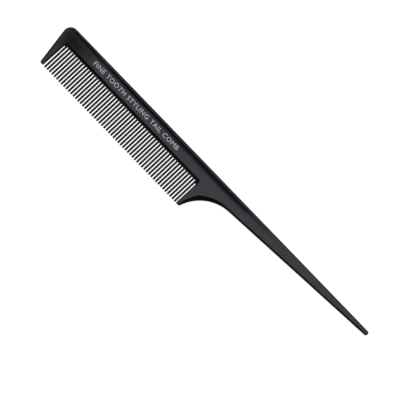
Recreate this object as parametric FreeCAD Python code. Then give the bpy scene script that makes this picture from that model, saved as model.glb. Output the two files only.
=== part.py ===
"""Rat tail comb: a flat moulded comb with a thick bead along its back, a hollowed spine, 56 fine teeth
between two stout guard teeth, and a long tapering tail for parting hair.

The comb is one moulding. It is written here as the features it is made of, cut where they meet, so that
the spine, each guard, the tail and every tooth is a closed solid of its own that touches its neighbours
face to face.

Frame, in millimetres: the comb lies flat. +X runs from the front guard to the tail's tip, +Y from the
tooth tips to the back, +Z up through the thickness. The origin is the bottom centre of the whole comb.
"""

import FreeCAD
import Part

import math
import os

Vector = FreeCAD.Vector

# Whole comb
LENGTH = 216.4
WIDTH = 24.8
THICKNESS = 3.8

X_FRONT = -LENGTH / 2
X_TIP = LENGTH / 2
Y_BACK = WIDTH / 2
Y_TEETH = -WIDTH / 2
Z_MID = THICKNESS / 2

# Teeth
TEETH = 56
PITCH = 1.707
TOOTH_TIP_WIDTH = 1.05
GAP_TOP_RADIUS = 0.30
Y_GAP_TOP = 2.85
Y_FIRST_GAP_TOP = 2.3  # the gaps beside the two guards are shorter than the others
Y_LAST_GAP_TOP = 1.45
FRONT_GUARD_LEAN = math.tan(math.radians(1.9))  # the guards' inner sides lean towards the front end
REAR_GUARD_LEAN = math.tan(math.radians(1.2))
FIRST_TOOTH_LEAN = math.tan(math.radians(1.2))
LAST_TOOTH_LEAN = math.tan(math.radians(0.7))
X_FIRST_TOOTH = -101.40  # centre line of the first tooth where it leaves the spine
TOOTH_ROOT_HALF = 1.10
TOOTH_TIP_HALF = 0.50
TOOTH_BEVEL = 0.28
TOOTH_LAND_HALF = 0.30  # half height of the upright side between a tooth's bevels

# Spine: a bead along the back, a hollow beside it, a flat web, and a bevel down to the tooth roots
Y_ROOT = 3.35  # the spine ends here and the teeth begin
BEAD_WIDTH = 1.1
Y_BEVEL_TOP = 4.5
Y_BEVEL_FOOT = 3.45

# Stations along the comb: (x, bead half thickness, hollow depth, hollow width)
STATIONS = (
    (X_FRONT - 1.0, 1.90, 0.30, 3.0),
    (0.0, 1.90, 0.50, 4.6),
    (60.0, 1.48, 0.03, 4.6),
    (X_TIP + 1.0, 1.10, 0.01, 4.6),
)

# Guards
FRONT_EDGE_LEAN = math.tan(math.radians(8.4))
FRONT_CORNER_RADIUS = 4.2
Y_FRONT_EDGE_TOP = 7.8  # height at which the front edge reaches the comb's full length
Y_FRONT_TIP = -12.2
Y_REAR_TIP = -12.3
GUARD_TIP_OUTER_RADIUS = 1.0
GUARD_TIP_INNER_RADIUS = 0.5
GUARD_ROOT_HALF = 1.65
GUARD_TIP_HALF = 0.95

# Tail
TAIL_SLOPE = math.tan(math.radians(3.8))
Y_TAIL_AT_TIP = 9.85  # height of the tail's lower edge, carried on to the very tip
TAIL_TIP_RADIUS = 1.1
SHOULDER_RADIUS = 21.8
X_SHOULDER_TANGENT = 15.2  # where the shoulder curve runs into the tail's lower edge

# Bevel round the outline
EDGE_LAND_HALF = 0.5  # half height of the upright edge between the two bevels
BACK_BEVEL = 0.7
FRONT_BEVEL = 0.7
GUARD_INNER_BEVEL = 0.45
TAIL_BEVEL = 0.6
SHOULDER_BEVEL = 2.5  # at the middle of the shoulder curve, where it is widest

OVERSIZE = 5.0  # how far cutting bodies reach past the comb

X_LAST_TOOTH = X_FIRST_TOOTH + (TEETH - 1) * PITCH
X_ROOT_FRONT = X_FIRST_TOOTH - PITCH / 2
X_ROOT_REAR = X_LAST_TOOTH + PITCH / 2


def wire(points, arcs):
    """A closed flat outline. arcs maps the index of a side's first point to a point midway along it."""
    edges = []
    for i, start in enumerate(points):
        end = points[(i + 1) % len(points)]
        if i in arcs:
            edges.append(Part.Arc(start, arcs[i], end).toShape())
        else:
            edges.append(Part.LineSegment(start, end).toShape())
    return Part.Wire(edges)


def corner(before, at, after, radius):
    """Start, middle and end of the arc that rounds the corner of two straight lines."""
    to_before = (before - at).normalize()
    to_after = (after - at).normalize()
    half_angle = to_before.getAngle(to_after) / 2
    cut = radius / math.tan(half_angle)
    bisector = (to_before + to_after).normalize()
    middle = at + bisector * (radius / math.sin(half_angle) - radius)
    return at + to_before * cut, middle, at + to_after * cut


def leaned(x, y, lean):
    """A point of a leaning line, x being its place where the teeth leave the spine."""
    return Vector(x + lean * (y - Y_ROOT), y, 0)


def prism(points, direction):
    """A straight-sided solid on a flat polygon."""
    return Part.Face(Part.makePolygon(points + points[:1])).extrude(direction)


def raised(flat_wire, height):
    """A copy of a flat outline at another height."""
    copy = flat_wire.copy()
    copy.translate(Vector(0, 0, height))
    return copy


def bevelled_plate(outer, inner, land_half, full_half):
    """A plate whose upright edge follows outer, bevelled on both sides in to inner."""
    levels = (
        raised(inner, Z_MID - full_half),
        raised(outer, Z_MID - land_half),
        raised(outer, Z_MID + land_half),
        raised(inner, Z_MID + full_half),
    )
    return Part.makeLoft(list(levels), True, True)


def front_edge_x(y, inset):
    """The front edge's place at height y."""
    across = inset * math.sqrt(1 + FRONT_EDGE_LEAN**2)
    return X_FRONT + (Y_FRONT_EDGE_TOP - y) * FRONT_EDGE_LEAN + across


def tail_edge(x, inset):
    """The point of the tail's lower edge at x."""
    y = Y_TAIL_AT_TIP + (x - X_TIP) * TAIL_SLOPE
    return Vector(x, y + inset * math.sqrt(1 + TAIL_SLOPE**2), 0)


def shoulder_centre():
    """Centre of the shoulder curve, which is tangent to the tail's lower edge."""
    down = Vector(TAIL_SLOPE, -1, 0).normalize()
    return tail_edge(X_SHOULDER_TANGENT, 0) + down * SHOULDER_RADIUS


def rear_tip_centre(radius):
    """Centre of the arc that joins the shoulder curve to the foot of the rear guard."""
    centre = shoulder_centre()
    y = Y_REAR_TIP + radius
    reach = SHOULDER_RADIUS + radius
    return Vector(centre.x - math.sqrt(reach**2 - (y - centre.y) ** 2), y, 0)


def blank_outline(bevelled):
    """The outline of everything but the teeth: at the edge, or where its bevel meets the face."""
    scale = 1.0 if bevelled else 0.0
    back = scale * BACK_BEVEL
    front = scale * FRONT_BEVEL
    inner = scale * GUARD_INNER_BEVEL
    tail = scale * TAIL_BEVEL
    y_top = Y_BACK - back
    y_front_tip = Y_FRONT_TIP + front
    y_rear_tip = Y_REAR_TIP + front

    # Corners of the straight sides
    back_tip = Vector(X_TIP - tail, y_top, 0)
    front_top = Vector(front_edge_x(y_top, front), y_top, 0)
    front_foot = Vector(front_edge_x(y_front_tip, front), y_front_tip, 0)
    front_inner_x = X_ROOT_FRONT - GAP_TOP_RADIUS - inner
    rear_inner_x = X_ROOT_REAR + GAP_TOP_RADIUS + inner
    front_inner_foot = leaned(front_inner_x, y_front_tip, FRONT_GUARD_LEAN)
    rear_inner_foot = leaned(rear_inner_x, y_rear_tip, REAR_GUARD_LEAN)
    tail_end = tail_edge(X_TIP - tail, tail)

    # Rounded corners
    tip_radius = TAIL_TIP_RADIUS - 0.8 * tail
    outer_radius = GUARD_TIP_OUTER_RADIUS - 0.8 * front
    inner_radius = GUARD_TIP_INNER_RADIUS - 0.8 * inner
    tip_back = corner(tail_end, back_tip, front_top, tip_radius)
    front_corner = corner(back_tip, front_top, front_foot, FRONT_CORNER_RADIUS - front)
    front_outer = corner(front_top, front_foot, front_inner_foot, outer_radius)
    front_top_inner = leaned(front_inner_x, Y_GAP_TOP, FRONT_GUARD_LEAN)
    front_inner = corner(front_foot, front_inner_foot, front_top_inner, inner_radius)
    rear_top_inner = leaned(rear_inner_x, Y_GAP_TOP, REAR_GUARD_LEAN)
    rear_inner = corner(rear_top_inner, rear_inner_foot, Vector(0, y_rear_tip, 0), inner_radius)

    # Flares that round off the first and the last gap
    turn = GAP_TOP_RADIUS + inner
    chord = turn * (1 - math.sqrt(0.5))
    y_first = Y_FIRST_GAP_TOP + inner
    y_last = Y_LAST_GAP_TOP + inner
    front_flare = (
        leaned(front_inner_x, y_first - turn, FRONT_GUARD_LEAN),
        leaned(front_inner_x + chord, y_first - chord, FRONT_GUARD_LEAN),
        Vector(X_ROOT_FRONT, y_first, 0),
    )
    rear_flare = (
        Vector(X_ROOT_REAR, y_last, 0),
        leaned(rear_inner_x - chord, y_last - chord, REAR_GUARD_LEAN),
        leaned(rear_inner_x, y_last - turn, REAR_GUARD_LEAN),
    )

    # Rear guard's foot and the shoulder curve
    centre = shoulder_centre()
    foot_centre = rear_tip_centre(GUARD_TIP_OUTER_RADIUS)
    from_foot = (foot_centre - centre).normalize()
    along_tail = (tail_edge(X_SHOULDER_TANGENT, 0) - centre).normalize()
    midway = (from_foot + along_tail).normalize()
    foot_low = Vector(foot_centre.x, y_rear_tip, 0)
    sideways = (Vector(0, -1, 0) - from_foot).normalize()
    foot_middle = foot_centre + sideways * (GUARD_TIP_OUTER_RADIUS - front)
    foot_side = centre + from_foot * (SHOULDER_RADIUS + front)
    shoulder_middle = centre + midway * (SHOULDER_RADIUS + scale * SHOULDER_BEVEL)
    tangent = tail_edge(X_SHOULDER_TANGENT, 1.3 * tail)
    tip_low = corner(tangent, tail_end, back_tip, tip_radius)

    points = [
        tip_back[2],
        front_corner[0],
        front_corner[2],
        front_outer[0],
        front_outer[2],
        front_inner[0],
        front_inner[2],
        front_flare[0],
        front_flare[2],
        Vector(X_ROOT_FRONT, Y_ROOT, 0),
        Vector(X_ROOT_REAR, Y_ROOT, 0),
        rear_flare[0],
        rear_flare[2],
        rear_inner[0],
        rear_inner[2],
        foot_low,
        foot_side,
        tangent,
        tip_low[0],
        tip_low[2],
        tip_back[0],
    ]
    arcs = {
        1: front_corner[1],
        3: front_outer[1],
        5: front_inner[1],
        7: front_flare[1],
        11: rear_flare[1],
        13: rear_inner[1],
        15: foot_middle,
        16: shoulder_middle,
        18: tip_low[1],
        20: tip_back[1],
    }
    return wire(points, arcs)


def section(x, bead_half, depth, width):
    """The comb's thickness across its width at x: bead, hollow and web, on both faces."""
    y_far = Y_BACK + OVERSIZE
    y_crest = Y_BACK - BEAD_WIDTH
    y_web = y_crest - width
    y_low = Y_TEETH - OVERSIZE
    web_half = bead_half - depth
    radius = (width**2 + depth**2) / (2 * depth)
    half_turn = math.asin(width / radius) / 2
    y_middle = y_web + radius * math.sin(half_turn)
    middle_half = web_half + radius * (1 - math.cos(half_turn))

    def at(y, half):
        return Vector(x, y, Z_MID + half)

    points = [
        at(y_far, bead_half),
        at(y_crest, bead_half),
        at(y_web, web_half),
        at(y_low, web_half),
        at(y_low, -web_half),
        at(y_web, -web_half),
        at(y_crest, -bead_half),
        at(y_far, -bead_half),
    ]
    return wire(points, {1: at(y_middle, middle_half), 5: at(y_middle, -middle_half)})


def tapered_slab(root_half, tip_half, x_from, x_to):
    """Thickness that tapers evenly from the tooth roots to the tooth tips, and is free above the roots."""
    slope = (root_half - tip_half) / (Y_ROOT - Y_TEETH)
    y_low = Y_TEETH - OVERSIZE
    low_half = tip_half - slope * OVERSIZE
    y_far = Y_BACK + OVERSIZE

    def at(y, half):
        return Vector(x_from, y, Z_MID + half)

    profile = [
        at(y_low, low_half),
        at(Y_ROOT, root_half),
        at(Y_ROOT + 0.01, THICKNESS),
        at(y_far, THICKNESS),
        at(y_far, -THICKNESS),
        at(Y_ROOT + 0.01, -THICKNESS),
        at(Y_ROOT, -root_half),
        at(y_low, -low_half),
    ]
    return prism(profile, Vector(x_to - x_from, 0, 0))


def blank():
    """Spine, guards and tail in one piece, before they are parted."""
    plate = bevelled_plate(blank_outline(False), blank_outline(True), EDGE_LAND_HALF, Z_MID)
    faces = Part.makeLoft([section(*station) for station in STATIONS], True, True)
    taper = tapered_slab(GUARD_ROOT_HALF, GUARD_TIP_HALF, X_FRONT - OVERSIZE, X_TIP + OVERSIZE)
    return plate.common(faces).common(taper)


def root_bevels():
    """The two strips cut off along the spine's lower edge, one from each face."""
    face_half = STATIONS[1][1] - STATIONS[1][2]
    slope = (face_half - TOOTH_ROOT_HALF) / (Y_BEVEL_TOP - Y_BEVEL_FOOT)
    reach = 2.0
    strips = []
    for side in (1, -1):
        profile = [
            Vector(X_ROOT_FRONT, Y_ROOT - reach, Z_MID + side * TOOTH_ROOT_HALF),
            Vector(X_ROOT_FRONT, Y_BEVEL_FOOT, Z_MID + side * TOOTH_ROOT_HALF),
            Vector(X_ROOT_FRONT, Y_BEVEL_FOOT + reach, Z_MID + side * (TOOTH_ROOT_HALF + slope * reach)),
            Vector(X_ROOT_FRONT, Y_BEVEL_FOOT + reach, Z_MID + side * THICKNESS),
            Vector(X_ROOT_FRONT, Y_ROOT - reach, Z_MID + side * THICKNESS),
        ]
        strips.append(prism(profile, Vector(X_ROOT_REAR - X_ROOT_FRONT, 0, 0)))
    return strips


def region(*corners):
    """Everything within a polygon of the plan, at any height."""
    points = [Vector(x, y, -THICKNESS) for x, y in corners]
    return prism(points, Vector(0, 0, 3 * THICKNESS))


def tooth_outline(lean, gap_tops, inset):
    """One tooth with the flares of the gaps on its two sides, about X = 0 where it leaves the spine."""
    root_half = PITCH / 2 - GAP_TOP_RADIUS - inset
    tip_half = TOOTH_TIP_WIDTH / 2 - inset
    y_before = gap_tops[0] + inset
    y_after = gap_tops[1] + inset
    turn = GAP_TOP_RADIUS + inset
    chord = turn * (1 - math.sqrt(0.5))
    y_tip = Y_TEETH + inset
    points = [
        Vector(-PITCH / 2, Y_ROOT, 0),
        Vector(-PITCH / 2, y_before, 0),
        leaned(-root_half, y_before - turn, lean),
        leaned(-tip_half, y_tip + tip_half, lean),
        leaned(tip_half, y_tip + tip_half, lean),
        leaned(root_half, y_after - turn, lean),
        Vector(PITCH / 2, y_after, 0),
        Vector(PITCH / 2, Y_ROOT, 0),
    ]
    arcs = {
        1: leaned(-root_half - chord, y_before - chord, lean),
        3: leaned(0, y_tip, lean),
        5: leaned(root_half + chord, y_after - chord, lean),
    }
    return wire(points, arcs)


def tooth(lean, gap_tops):
    """One fine tooth, about X = 0 where it leaves the spine. gap_tops are the heights of the gaps beside it."""
    edge = tooth_outline(lean, gap_tops, 0)
    face = tooth_outline(lean, gap_tops, TOOTH_BEVEL)
    plate = bevelled_plate(edge, face, TOOTH_LAND_HALF, TOOTH_ROOT_HALF)
    return plate.common(tapered_slab(TOOTH_ROOT_HALF, TOOTH_TIP_HALF, -PITCH, PITCH))


def body_parts():
    """The named features that are not teeth, cut from one blank so that they meet exactly."""
    whole = blank()
    far_front = X_FRONT - OVERSIZE
    far_tip = X_TIP + OVERSIZE
    y_top = Y_BACK + OVERSIZE
    y_low = Y_TEETH - OVERSIZE
    centre = shoulder_centre()

    spine = whole.common(
        region((far_front, Y_ROOT), (X_ROOT_REAR, Y_ROOT), (X_ROOT_REAR, y_top), (far_front, y_top))
    )
    for strip in root_bevels():
        spine = spine.cut(strip)
    front_guard = whole.common(
        region((far_front, y_low), (X_ROOT_FRONT, y_low), (X_ROOT_FRONT, Y_ROOT), (far_front, Y_ROOT))
    )
    # The rear guard and the tail part square to the shoulder curve, on the line from its centre.
    rear_guard = whole.common(
        region((X_ROOT_REAR, Y_ROOT), (X_ROOT_REAR, y_low), (centre.x, y_low), (centre.x, centre.y))
    )
    tail = whole.common(
        region(
            (X_ROOT_REAR, Y_ROOT),
            (centre.x, centre.y),
            (far_tip, centre.y),
            (far_tip, y_top),
            (X_ROOT_REAR, y_top),
        )
    )
    return {
        "spine": spine,
        "front_guard": front_guard,
        "rear_guard": rear_guard,
        "tail": tail,
    }


def teeth():
    """Every fine tooth, numbered from the front guard. The lean eases off evenly along the row."""
    row = {}
    tops = [Y_FIRST_GAP_TOP] + [Y_GAP_TOP] * (TEETH - 1) + [Y_LAST_GAP_TOP]
    for number in range(TEETH):
        share = number / (TEETH - 1)
        lean = FIRST_TOOTH_LEAN + share * (LAST_TOOTH_LEAN - FIRST_TOOTH_LEAN)
        shape = tooth(lean, tops[number : number + 2])
        shape.translate(Vector(X_FIRST_TOOTH + number * PITCH, 0, 0))
        row[f"tooth_{number + 1:02d}"] = shape
    return row


def main():
    os.makedirs("parts", exist_ok=True)
    for name, shape in {**body_parts(), **teeth()}.items():
        solids = shape.Solids
        piece = solids[0] if len(solids) == 1 else Part.makeCompound(solids)
        piece.exportStep(f"parts/{name}.step")
        print(name, len(solids), "solid", round(piece.Volume, 2), "mm3", "valid", piece.isValid())


main()
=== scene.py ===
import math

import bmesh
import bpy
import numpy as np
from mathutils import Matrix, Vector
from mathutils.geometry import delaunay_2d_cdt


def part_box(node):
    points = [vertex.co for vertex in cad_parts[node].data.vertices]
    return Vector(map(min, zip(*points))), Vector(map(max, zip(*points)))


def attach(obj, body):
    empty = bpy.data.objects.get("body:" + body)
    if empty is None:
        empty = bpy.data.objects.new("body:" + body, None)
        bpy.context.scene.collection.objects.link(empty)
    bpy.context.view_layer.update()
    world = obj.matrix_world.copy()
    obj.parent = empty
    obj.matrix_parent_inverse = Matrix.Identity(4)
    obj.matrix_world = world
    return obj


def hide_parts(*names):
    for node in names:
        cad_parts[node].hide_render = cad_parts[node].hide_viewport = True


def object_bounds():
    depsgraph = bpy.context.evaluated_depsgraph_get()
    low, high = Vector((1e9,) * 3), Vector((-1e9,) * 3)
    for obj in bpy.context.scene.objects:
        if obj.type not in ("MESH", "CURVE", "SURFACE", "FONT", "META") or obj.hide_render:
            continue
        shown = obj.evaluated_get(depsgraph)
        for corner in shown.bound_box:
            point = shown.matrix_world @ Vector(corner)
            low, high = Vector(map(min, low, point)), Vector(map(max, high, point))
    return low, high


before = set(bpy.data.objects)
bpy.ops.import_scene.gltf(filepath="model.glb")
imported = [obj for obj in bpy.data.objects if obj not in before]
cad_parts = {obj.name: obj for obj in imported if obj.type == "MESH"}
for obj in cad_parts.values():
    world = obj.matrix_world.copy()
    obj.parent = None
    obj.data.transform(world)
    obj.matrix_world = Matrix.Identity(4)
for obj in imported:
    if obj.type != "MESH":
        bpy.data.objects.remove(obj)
cad_low, cad_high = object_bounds()

# Looks of the rat tail comb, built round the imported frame.
#
# Every CAD node is replaced by one finer piece: a closed mesh whose two faces mirror each other and follow
# a height function of the plan. The spine, the guards and the tail share one such function, so there is no
# step across the cuts between them, and the teeth join it at their roots. Plan and heights are in
# millimetres in the row frame, and turn into metres when a mesh is made.

MM = 0.001
SMALLEST = 1e-6  # an outline leaves out anything shorter, in millimetres
ROUND_OFF = 1e-9


def box_mm(node):
    """Lowest and highest corner of a CAD node, in millimetres."""
    low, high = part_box(node)
    return np.array(low) / MM, np.array(high) / MM


# ---------------------------------------------------------------- places taken from the frame
_, Y_TIPS, Z_LOW = np.array(cad_low) / MM
X_END, Y_BACK, Z_HIGH = np.array(cad_high) / MM
X_FRONT = -X_END  # the front edge passes here, and its corner bulges a hair beyond
Z_MID = (Z_LOW + Z_HIGH) / 2
BEAD_HALF = (Z_HIGH - Z_LOW) / 2

TOOTH_NAMES = sorted(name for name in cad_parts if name.startswith("tooth_"))
spine_low, spine_high = box_mm("spine")
Y_ROOT = spine_low[1]
X_ROOT_REAR = spine_high[0]
X_ROOT_FRONT = box_mm(TOOTH_NAMES[0])[0][0]
X_ROOT_MIDDLE = (X_ROOT_FRONT + X_ROOT_REAR) / 2
PITCH = (X_ROOT_REAR - X_ROOT_FRONT) / len(TOOTH_NAMES)
Y_FRONT_TIP = box_mm("front_guard")[0][1]
Y_REAR_TIP = box_mm("rear_guard")[0][1]

# ---------------------------------------------------------------- sizes, in millimetres
TOOTH_ROOT_HALF = 0.95
TOOTH_TIP_HALF = 0.50
TOOTH_TIP_WIDTH = 1.09
TOOTH_ROUNDING = 0.46
TOOTH_CROWN = 0.5  # slope of a tooth's two faces, away from the ridge along its middle
RIDGE_SOFTNESS = 0.04
CROWN_FADE = 1.2  # the crown fades over this much of a tooth, just below its root
TOOTH_TIP_RADIUS = 0.52
GAP_HALF = 0.275  # half the width of a gap at its top
FRONT_GAP_HALF = 0.15  # the same for the front guard's side of the first gap
GAP_RADIUS = 0.26
REAR_FLARE_RADIUS = 0.22
Y_GAP_TOP = Y_ROOT - 0.625
ROOT_SLANT = 0.0020  # the line of the tooth roots climbs this much towards the front end
Y_FIRST_GAP_TOP = Y_ROOT - 1.05  # the gaps beside the two guards are shorter than the others
Y_LAST_GAP_TOP = Y_ROOT - 1.90

BEAD_WIDTH = 1.03
TAIL_THINNING = 0.8  # how much the half thickness falls along the tail
TAIL_THINNING_POWER = 1.3
HOLLOW_DEPTH = (0.37, 0.60)  # at the front end and at the shoulder
HOLLOW_WIDTH = (3.2, 4.6)
HOLLOW_RUNOUT = 80.0  # how far into the tail the hollow fades away
Y_POCKET = Y_ROOT - 0.20  # foot of the bevel that falls from the web to the tooth roots
POCKET_BEVEL = 1.25
POCKET_LEAST_RISE = 0.1
POCKET_SIDE_STEEPNESS = (2.0, 3.2)  # beside the front guard and beside the rear guard
DIP_FADE = 0.8  # the bevel's run-on beside a guard fades out over this height, just below the gap's top
DIP_SIDE = 0.35  # the floor beside a guard starts this far from a tooth's middle, and is full at twice that

HOLLOW_BLEND = 0.015  # how softly two surfaces meet
GUARD_BLEND = 0.15
BEVEL_BLEND = 0.04
BEVEL_LIFT = 0.01  # the bevel starts this much above its foot

GUARD_ROOT_HALF = 1.65
GUARD_TIP_HALF = 0.95
FRONT_GUARD_LEAN = math.tan(math.radians(2.15))
REAR_GUARD_LEAN = math.tan(math.radians(1.2))
FRONT_LEAN_ANGLE = math.radians(8.4)
Y_FRONT_EDGE_TOP = 7.8
FRONT_CORNER_RADIUS = 4.2
GUARD_OUTER_RADIUS = 1.0
GUARD_INNER_RADIUS = 0.5

TAIL_SLOPE = math.tan(math.radians(3.8))
Y_TAIL_AT_TIP = 9.85
TAIL_TIP_RADIUS = 1.1
SHOULDER_RADIUS = 21.8
X_SHOULDER_TANGENT = 15.2
FLASH_REACH = 0.03  # the parting line stands out this far round the whole outline
FLASH_HALF = 0.035
LONG_ARC_STEP = 60.0  # degrees times millimetres: no step along an arc is longer than about 1 mm


# ---------------------------------------------------------------- plan outlines
def unit(vector):
    return vector / np.linalg.norm(vector)


def crossing(point_a, along_a, point_b, along_b):
    """Where two straight lines of the plan cross."""
    share = np.linalg.solve(np.column_stack([along_a, -along_b]), point_b - point_a)[0]
    return point_a + share * along_a


class Outline:
    """An open outline of lines and rounded corners, with the material on its right-hand side."""

    def __init__(self, corners):
        """corners: (name, point, radius). marks holds each corner's first and last place on the outline."""
        self.parts = []
        self.marks = {}
        self.length = 0.0
        points = [np.array(point, float) for _, point, _ in corners]
        last = points[0]
        for i, (name, _, radius) in enumerate(corners):
            if radius > 0:
                before = unit(points[i - 1] - points[i])
                after = unit(points[i + 1] - points[i])
                half_angle = math.acos(np.clip(before @ after, -1, 1)) / 2
                cut = radius / math.tan(half_angle)
                arc_start = points[i] + before * cut
                arc_end = points[i] + after * cut
                centre = points[i] + unit(before + after) * radius / math.sin(half_angle)
                self.add_line(last, arc_start)
                start = self.length
                self.add_arc(centre, radius, arc_start, arc_end)
                last = arc_end
            else:
                self.add_line(last, points[i])
                start = self.length
                last = points[i]
            self.marks[name] = (start, self.length)

    def add_line(self, start, end):
        size = np.linalg.norm(end - start)
        if size > SMALLEST:
            self.parts.append(("line", start, end, self.length, size))
            self.length += size

    def add_arc(self, centre, radius, start, end):
        first = math.atan2(*(start - centre)[::-1])
        turn = math.atan2(*(end - centre)[::-1]) - first
        turn = (turn + math.pi) % (2 * math.pi) - math.pi
        size = abs(turn) * radius
        self.parts.append(("arc", centre, (radius, first, turn), self.length, size))
        self.length += size

    def at(self, place):
        """Point and inward normal at a place along the outline."""
        part = next((p for p in self.parts if place <= p[3] + p[4] + ROUND_OFF), self.parts[-1])
        kind, anchor, shape, start, size = part
        share = (place - start) / size
        if kind == "line":
            along = unit(shape - anchor)
            return anchor + share * (shape - anchor), np.array([along[1], -along[0]])
        radius, first, turn = shape
        angle = first + share * turn
        radial = np.array([math.cos(angle), math.sin(angle)])
        return anchor + radius * radial, radial * (1 if turn > 0 else -1)

    def places(self, start, end, line_step, arc_step_degrees):
        """Places from start to end, evenly spread along each line and arc."""
        found = [start]
        for kind, _, shape, first, size in self.parts:
            low, high = max(first, start), min(first + size, end)
            if high - low < SMALLEST:
                continue
            if kind == "line":
                steps = max(1, math.ceil((high - low) / line_step))
            else:
                turned = math.degrees(abs(shape[2])) * (high - low) / size
                arc_step = min(arc_step_degrees, LONG_ARC_STEP / shape[0])
                steps = max(2, math.ceil(turned / arc_step))
            found += list(low + (high - low) * np.arange(1, steps + 1) / steps)
        return np.array(found)

    def nearest(self, x, y):
        """Distance from points of the plan to the outline, and the place of the nearest point on it."""
        point = np.stack([x, y], -1)
        best = np.full(x.shape, np.inf)
        place = np.zeros(x.shape)
        for kind, anchor, shape, start, size in self.parts:
            if kind == "line":
                along = (shape - anchor) / size
                reach = np.clip((point - anchor) @ along, 0, size)
                away = np.linalg.norm(point - anchor - reach[..., None] * along, axis=-1)
            else:
                radius, first, turn = shape
                off = point - anchor
                angle = np.arctan2(off[..., 1], off[..., 0])
                middle = first + turn / 2
                swing = (angle - middle + math.pi) % (2 * math.pi) - math.pi
                swing = np.clip(swing, -abs(turn) / 2, abs(turn) / 2)
                ray = np.stack([np.cos(middle + swing), np.sin(middle + swing)], -1)
                away = np.linalg.norm(off - radius * ray, axis=-1)
                reach = (swing * math.copysign(1, turn) + abs(turn) / 2) * radius
            closer = away < best
            best = np.where(closer, away, best)
            place = np.where(closer, start + reach, place)
        return best, place


def front_inner(y):
    """The front guard's inner side at height y."""
    return X_ROOT_FRONT - FRONT_GAP_HALF + FRONT_GUARD_LEAN * (y - Y_ROOT)


def rear_inner(y):
    """The rear guard's inner side at height y."""
    return X_ROOT_REAR + GAP_HALF + REAR_GUARD_LEAN * (y - Y_ROOT)


def root_rise(x):
    """How far the tooth roots stand above their mean height at a place along the comb."""
    return ROOT_SLANT * (X_ROOT_MIDDLE - x)


def front_edge(y):
    """The leaning front edge at height y."""
    return X_FRONT + (Y_FRONT_EDGE_TOP - y) * math.tan(FRONT_LEAN_ANGLE)


def tail_edge(x):
    """A point of the tail's lower edge."""
    return np.array([x, Y_TAIL_AT_TIP + (x - X_END) * TAIL_SLOPE])


# The shoulder is one arc from the tail's lower edge to the rear guard's foot. The cut between tail and
# rear guard runs straight from the corner of the tooth roots towards the arc's centre.
ROOT_CORNER = np.array([X_ROOT_REAR, Y_ROOT])
tail_along = unit(np.array([1.0, TAIL_SLOPE]))
tail_down = np.array([tail_along[1], -tail_along[0]])
shoulder_centre = tail_edge(X_SHOULDER_TANGENT) + tail_down * SHOULDER_RADIUS
foot_y = Y_REAR_TIP + GUARD_OUTER_RADIUS
foot_reach = SHOULDER_RADIUS + GUARD_OUTER_RADIUS
foot_x = shoulder_centre[0] - math.sqrt(foot_reach**2 - (foot_y - shoulder_centre[1]) ** 2)


def shoulder_tangent(ray):
    """Point of the shoulder arc on a ray from its centre, and the direction of its tangent there."""
    return shoulder_centre + ray * SHOULDER_RADIUS, np.array([-ray[1], ray[0]])


to_foot = unit(np.array([foot_x, foot_y]) - shoulder_centre)
to_cut = unit(ROOT_CORNER - shoulder_centre)
foot_point, foot_along = shoulder_tangent(to_foot)
cut_point, cut_along = shoulder_tangent(to_cut)
tail_corner = crossing(tail_edge(X_END), tail_along, cut_point, cut_along)
guard_corner = crossing(cut_point, cut_along, foot_point, foot_along)
foot_corner = crossing(foot_point, foot_along, np.array([0.0, Y_REAR_TIP]), np.array([1.0, 0.0]))

body = Outline(
    [
        ("first_gap", (X_ROOT_FRONT, Y_FIRST_GAP_TOP), 0),
        ("front_flare", (front_inner(Y_FIRST_GAP_TOP), Y_FIRST_GAP_TOP), FRONT_GAP_HALF),
        ("front_tip_inner", (front_inner(Y_FRONT_TIP), Y_FRONT_TIP), GUARD_INNER_RADIUS),
        ("front_tip_outer", (front_edge(Y_FRONT_TIP), Y_FRONT_TIP), GUARD_OUTER_RADIUS),
        ("front_cut", (front_edge(Y_ROOT), Y_ROOT), 0),
        ("front_corner", (front_edge(Y_BACK), Y_BACK), FRONT_CORNER_RADIUS),
        ("back_cut", (X_ROOT_REAR, Y_BACK), 0),
        ("tip_upper", (X_END, Y_BACK), TAIL_TIP_RADIUS),
        ("tip_lower", tuple(tail_edge(X_END)), TAIL_TIP_RADIUS),
        ("shoulder_tail", tail_corner, SHOULDER_RADIUS),
        ("shoulder_guard", guard_corner, SHOULDER_RADIUS),
        ("foot", foot_corner, GUARD_OUTER_RADIUS),
        ("rear_tip_inner", (rear_inner(Y_REAR_TIP), Y_REAR_TIP), GUARD_INNER_RADIUS),
        ("rear_flare", (rear_inner(Y_LAST_GAP_TOP), Y_LAST_GAP_TOP), REAR_FLARE_RADIUS),
        ("last_gap", (X_ROOT_REAR, Y_LAST_GAP_TOP), 0),
    ]
)


def tooth_outline(y_before, y_after):
    """A tooth that stands upright about x = 0, between gaps whose tops are at the two heights."""
    return Outline(
        [
            ("start", (PITCH / 2, y_after), 0),
            ("right_flare", (PITCH / 2 - GAP_HALF, y_after), GAP_RADIUS),
            ("right_tip", (TOOTH_TIP_WIDTH / 2, Y_TIPS), TOOTH_TIP_RADIUS),
            ("left_tip", (-TOOTH_TIP_WIDTH / 2, Y_TIPS), TOOTH_TIP_RADIUS),
            ("left_flare", (-PITCH / 2 + GAP_HALF, y_before), GAP_RADIUS),
            ("end", (-PITCH / 2, y_before), 0),
        ]
    )


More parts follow.
